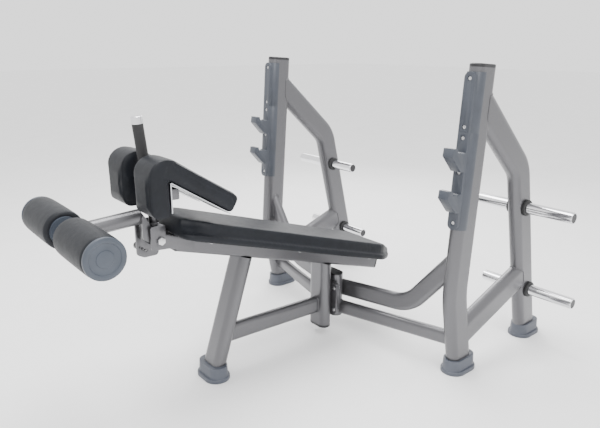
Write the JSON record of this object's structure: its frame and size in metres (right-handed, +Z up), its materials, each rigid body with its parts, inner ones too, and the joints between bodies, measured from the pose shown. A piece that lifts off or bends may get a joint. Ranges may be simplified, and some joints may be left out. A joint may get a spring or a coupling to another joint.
{
  "type": "olympic decline bench with plate storage",
  "caption": "Decline bench with foam leg rollers, thigh pads and a grip, joined to a barbell rack with bar hooks and plate storage horns.",
  "frame": {"origin": "on the floor under the middle of the whole object", "axes": "+X from the leg rollers towards the rack, +Y to the left of a person facing +X, +Z up"},
  "size_m": [2.0149, 1.69, 1.2543],
  "materials": {
    "dark_paint": "satin",
    "frame_paint": "satin",
    "foot_plastic": "matte",
    "cover_plastic": "satin",
    "black_plastic": "satin",
    "black_rubber": "matte",
    "chrome": "polished",
    "zinc_steel": "satin",
    "bronze": "satin",
    "pad_vinyl": "satin",
    "plywood": "matte",
    "board_steel": "satin",
    "roller_foam": "matte",
    "roller_plastic": "satin"
  },
  "bodies": {
    "frame": {"bench_column": "frame_paint", "bench_foot": "foot_plastic", "bench_lower_bar": "frame_paint", "bench_pad": "pad_vinyl", "bench_pad_board": "plywood", "bench_pad_bolts": "zinc_steel", "bench_pad_straps": "frame_paint", "cover_bolts": "zinc_steel", "flange_bolts": "zinc_steel", "flange_plates": "frame_paint", "frame_end_caps": "black_plastic", "front_feet": "foot_plastic", "front_leg": "frame_paint", "handle_cap": "chrome", "handle_grip": "black_rubber", "handle_post": "frame_paint", "hook_covers": "cover_plastic", "horn_collars": "black_rubber", "horn_end_plugs": "black_plastic", "lock_pin_housing": "zinc_steel", "lower_cross_tubes": "frame_paint", "main_beam": "frame_paint", "pivot_bolt": "zinc_steel", "pivot_cheek_left": "frame_paint", "pivot_cheek_right": "frame_paint", "pivot_spacers": "bronze", "pivot_top_plate": "frame_paint", "plate_horns_left": "chrome", "plate_horns_right": "chrome", "rack_post": "frame_paint", "rear_feet": "foot_plastic", "rear_support_left": "frame_paint", "rear_support_right": "frame_paint", "side_braces": "frame_paint", "thigh_pad_boards": "board_steel", "thigh_pad_bolts": "zinc_steel", "thigh_pad_left": "pad_vinyl", "thigh_pad_mounts": "frame_paint", "thigh_pad_right": "pad_vinyl", "upper_covers": "cover_plastic", "upper_cross_tube_left": "frame_paint", "upper_cross_tube_right": "frame_paint", "upright_caps": "black_plastic", "upright_left": "frame_paint", "upright_right": "frame_paint"},
    "leg_arm": {"arm_tube": "frame_paint", "arm_hub": "dark_paint", "arm_lock_plate": "frame_paint", "arm_side_plate": "frame_paint", "pivot_bush": "bronze", "roller_axle": "chrome", "axle_end_stops": "zinc_steel"},
    "roller_left": {"leg_roller_left": "roller_foam", "roller_sleeve_left": "roller_plastic", "roller_outer_cap_left": "roller_plastic"},
    "roller_right": {"leg_roller_right": "roller_foam", "roller_sleeve_right": "roller_plastic", "roller_outer_cap_right": "roller_plastic"},
    "lock_pin": {"lock_pin": "zinc_steel", "lock_pin_knob": "black_plastic"}
  },
  "joints": [
    {"name": "leg_arm_tilt", "type": "hinge", "parent": "frame", "child": "leg_arm", "pos_m": [-0.6465, 0, 0.647], "axis": [0, 1, 0], "range_deg": [-20, 10]},
    {"name": "roller_left_spin", "type": "hinge", "parent": "leg_arm", "child": "roller_left", "pos_m": [-0.9395, 0, 0.719], "axis": [0, 1, 0], "continuous": true},
    {"name": "roller_right_spin", "type": "hinge", "parent": "leg_arm", "child": "roller_right", "pos_m": [-0.9395, 0, 0.719], "axis": [0, 1, 0], "continuous": true},
    {"name": "lock_pin_slide", "type": "slide", "parent": "frame", "child": "lock_pin", "axis": [0, -1, 0], "range_m": [0, 0.008]}
  ]
}
